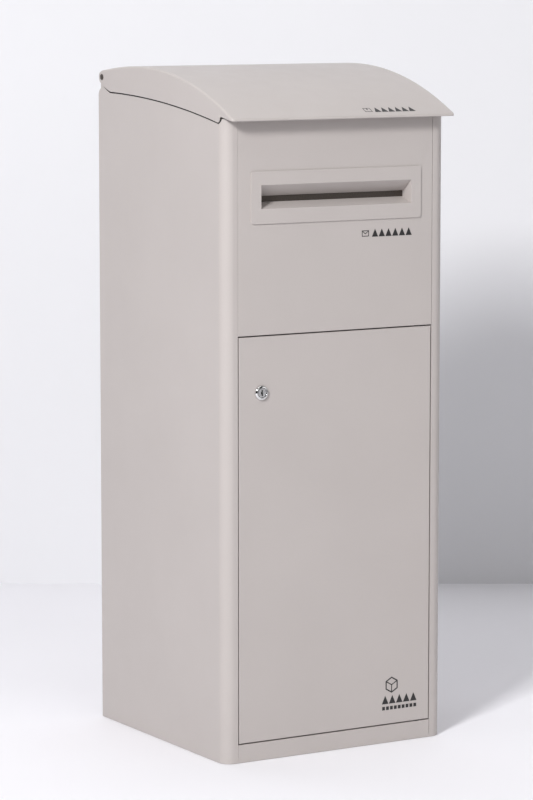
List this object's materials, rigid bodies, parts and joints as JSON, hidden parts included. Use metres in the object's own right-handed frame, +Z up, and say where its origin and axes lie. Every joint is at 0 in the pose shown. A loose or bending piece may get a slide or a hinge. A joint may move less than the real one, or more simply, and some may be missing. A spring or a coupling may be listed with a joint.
{
  "type": "parcel drop box",
  "caption": "Free-standing steel parcel and letter drop box: curved hinged lid over a linked drop-down parcel tray, front letter slot with inner flap, and a flush locking door.",
  "frame": {"origin": "on the floor, at the middle of the footprint that includes the lid's visor", "axes": "+X to the right seen from the front, +Y towards the back, +Z up"},
  "size_m": [0.389, 0.409, 1.025],
  "materials": {
    "powder_coat": "satin powder coat",
    "zinc_steel": "zinc plated",
    "black_pin": "blackened",
    "rubber": "matte",
    "nylon": "matte",
    "lock_chrome": "polished"
  },
  "bodies": {
    "cabinet": {"left_side_panel": "powder_coat", "right_side_panel": "powder_coat", "rain_strips": "rubber", "back_panel": "powder_coat", "base_pan": "powder_coat", "floor_mat": "rubber", "front_panel": "powder_coat", "plinth_rail": "powder_coat", "letter_plate": "powder_coat", "letter_plate_nuts": "zinc_steel", "flap_pin": "zinc_steel", "flap_springs": "zinc_steel", "strike_plate": "zinc_steel", "left_hinge_lug": "powder_coat", "right_hinge_lug": "powder_coat", "lid_hinge_pins": "black_pin", "lid_hinge_clips": "zinc_steel", "left_tray_bracket": "zinc_steel", "right_tray_bracket": "zinc_steel", "tray_pivot_pins": "zinc_steel", "tray_stops": "rubber", "lid_buffers": "rubber", "door_hinge_pins": "zinc_steel", "door_seal": "rubber", "panel_rivets": "zinc_steel", "plinth_rivets": "zinc_steel", "base_rivets": "zinc_steel"},
    "lid": {"lid_shell": "powder_coat", "lid_stiffener": "powder_coat", "left_lid_arm": "zinc_steel", "right_lid_arm": "zinc_steel", "upper_link_pins": "zinc_steel"},
    "left_link": {"left_link": "zinc_steel"},
    "right_link": {"right_link": "zinc_steel"},
    "tray": {"parcel_tray": "powder_coat", "tray_lip_trim": "rubber", "lower_link_pins": "zinc_steel"},
    "door": {"door_skin": "powder_coat", "door_stiffeners": "powder_coat", "door_bushes": "nylon", "lock_barrel": "lock_chrome", "lock_nut": "zinc_steel"},
    "lock": {"lock_plug": "lock_chrome", "lock_cam": "zinc_steel", "cam_screw": "zinc_steel"},
    "flap": {"letter_flap": "black_pin"}
  },
  "joints": [
    {"name": "lid_hinge", "type": "hinge", "parent": "cabinet", "child": "lid", "pos_m": [0, 0.193, 1.00598], "axis": [-1, 0, 0], "range_deg": [0, 82]},
    {"name": "tray_tilt", "type": "hinge", "parent": "cabinet", "child": "tray", "pos_m": [0, 0.1805, 0.785], "axis": [-1, 0, 0], "range_deg": [0, 82]},
    {"name": "left_link_pivot", "type": "hinge", "parent": "lid", "child": "left_link", "pos_m": [-0.18775, 0.1547, 0.97384], "axis": [-1, 0, 0], "range_deg": [-82, 0]},
    {"name": "right_link_pivot", "type": "hinge", "parent": "lid", "child": "right_link", "pos_m": [0.18775, 0.1547, 0.97384], "axis": [-1, 0, 0], "range_deg": [-82, 0]},
    {"name": "door_hinge", "type": "hinge", "parent": "cabinet", "child": "door", "pos_m": [0.15, -0.172, 0.33225], "axis": [0, 0, 1], "range_deg": [0, 110]},
    {"name": "lock_turn", "type": "hinge", "parent": "door", "child": "lock", "pos_m": [-0.1305, -0.1695, 0.5525], "axis": [0, 1, 0], "range_deg": [0, 90]},
    {"name": "flap_hinge", "type": "hinge", "parent": "cabinet", "child": "flap", "pos_m": [0, -0.1515, 0.849], "axis": [1, 0, 0], "range_deg": [0, 60], "stiffness_Nm_per_rad": 0.02, "springref_deg": -20.05}
  ],
  "couplings": [
    {"joint": "tray_tilt", "follows": "lid_hinge", "ratio": 1},
    {"joint": "left_link_pivot", "follows": "lid_hinge", "ratio": -1},
    {"joint": "right_link_pivot", "follows": "lid_hinge", "ratio": -1}
  ]
}
